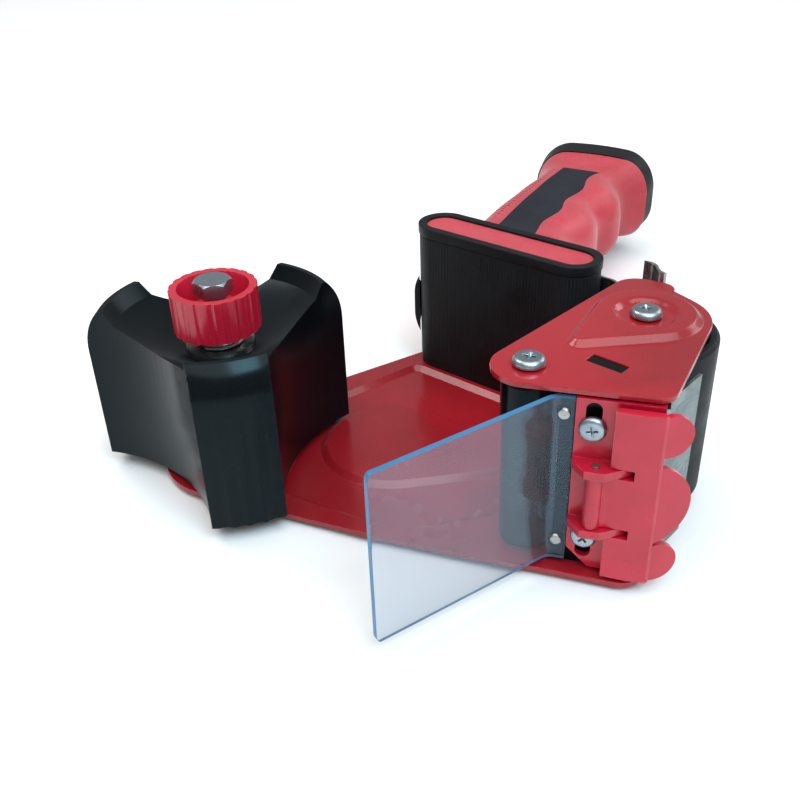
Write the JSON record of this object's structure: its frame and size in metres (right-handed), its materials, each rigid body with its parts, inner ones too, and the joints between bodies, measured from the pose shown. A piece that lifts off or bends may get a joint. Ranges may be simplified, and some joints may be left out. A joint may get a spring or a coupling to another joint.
{
  "type": "tape gun dispenser",
  "caption": "Hand-held tape gun with pressed side plate, finger-grooved grip, three-lobed core hub with screw brake, rubber roller, clear flap and guarded blade.",
  "frame": {"origin": "middle of the base rectangle, at the lowest face of the side plate", "axes": "+X from the handle end to the flap end, +Y towards the rollers and blade, +Z along the hub axis, away from the side plate"},
  "size_m": [0.2644, 0.1708, 0.0608],
  "materials": {
    "red_paint": "gloss paint on pressed steel",
    "black_plastic": "gloss black moulding",
    "red_plastic": "gloss red moulding",
    "soft_red": "satin soft grip",
    "black_rubber": "satin rubber",
    "inlay_black": "fine matt texture",
    "zinc": "bright zinc plating",
    "steel": "brushed steel",
    "nylon": "natural nylon",
    "clear_pvc": "clear with blue edges"
  },
  "bodies": {
    "frame": {"frame_plate": "red_paint", "outer_plate": "red_paint", "roller_axle": "steel", "guide_axle": "steel", "plate_screws": "zinc", "post_core": "soft_red", "post_sleeve": "black_rubber", "post_screws": "zinc", "tape_strap": "steel", "strap_rivets": "zinc", "handle_core": "black_plastic", "grip_sleeve": "soft_red", "inlay_top": "inlay_black", "inlay_bottom": "inlay_black", "end_cap": "black_plastic", "collar": "black_plastic", "hub_boss": "steel", "thrust_washer": "nylon", "hub_bolt": "zinc", "cutter_block": "black_plastic", "blade_bracket": "red_plastic", "blade": "steel", "bracket_screws": "zinc", "hinge_pin": "steel", "guard_spring": "steel", "flap_root": "clear_pvc", "flap_pins": "black_plastic"},
    "hub_body": {"hub": "black_plastic", "hub_bush": "nylon", "friction_washer": "steel"},
    "roller_body": {"roller_core": "black_plastic", "roller_sleeve": "black_rubber", "roller_bushes": "nylon"},
    "guide_roller_body": {"guide_roller": "black_plastic"},
    "brake_slider": {"spring_seat": "zinc", "brake_spring": "steel"},
    "knob_body": {"brake_knob": "red_plastic", "knob_nut": "zinc"},
    "guard_body": {"blade_guard": "red_plastic"},
    "flap_body": {"tape_flap": "clear_pvc"}
  },
  "joints": [
    {"name": "hub_spin", "type": "hinge", "parent": "frame", "child": "hub_body", "pos_m": [0.08435, -0.04725, 0.02], "axis": [0, 0, 1], "continuous": true},
    {"name": "roller_spin", "type": "hinge", "parent": "frame", "child": "roller_body", "pos_m": [0.04285, 0.06105, 0.028], "axis": [0, 0, 1], "continuous": true},
    {"name": "guide_roller_spin", "type": "hinge", "parent": "frame", "child": "guide_roller_body", "pos_m": [0.07945, 0.04425, 0.028], "axis": [0, 0, 1], "continuous": true},
    {"name": "brake_slide", "type": "slide", "parent": "frame", "child": "brake_slider", "axis": [0, 0, 1], "range_m": [-0.0012, 0.0035], "deforming": ["brake_spring"]},
    {"name": "knob_turn", "type": "hinge", "parent": "brake_slider", "child": "knob_body", "pos_m": [0.08435, -0.04725, 0.05], "axis": [0, 0, 1], "range_deg": [-435, 1263]},
    {"name": "guard_pivot", "type": "hinge", "parent": "frame", "child": "guard_body", "pos_m": [0.08688, 0.06498, 0.028], "axis": [0, 0, 1], "range_deg": [-40, 0], "stiffness_Nm_per_rad": 0.02, "springref_deg": 20.05},
    {"name": "flap_flex", "type": "hinge", "parent": "frame", "child": "flap_body", "pos_m": [0.08522, 0.05346, 0.028], "axis": [0, 0, 1], "range_deg": [-30, 20], "stiffness_Nm_per_rad": 0.06}
  ],
  "couplings": [
    {"joint": "knob_turn", "follows": "brake_slide", "rad_per_m": 6283.2}
  ]
}
